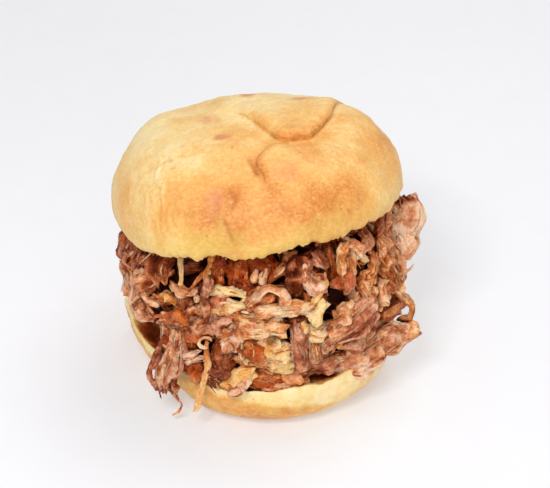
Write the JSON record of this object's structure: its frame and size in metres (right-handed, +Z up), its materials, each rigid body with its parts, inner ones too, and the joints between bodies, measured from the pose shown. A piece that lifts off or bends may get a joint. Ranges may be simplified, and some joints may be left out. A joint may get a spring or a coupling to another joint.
{
  "type": "pulled pork sandwich",
  "caption": "Soft round bread roll, sliced in two and heaped with shredded, sauced pork that spills over the heel; the crown leans back on top.",
  "frame": {"origin": "on the table, at the centre of the heel's flat underside", "axes": "+Z up; +X to the right and -Y towards the viewer, as the sandwich is seen from the front"},
  "size_m": [0.1227, 0.1073, 0.11],
  "materials": {
    "heel_crust": "baked bread, pale crust and cream crumb",
    "pork_meat": "moist shredded meat with thin sauce",
    "crown_crust": "baked bread, golden satin crust"
  },
  "bodies": {
    "root": {"bun_bottom": "heel_crust", "pulled_pork": "pork_meat", "bun_top": "crown_crust"}
  },
  "joints": []
}
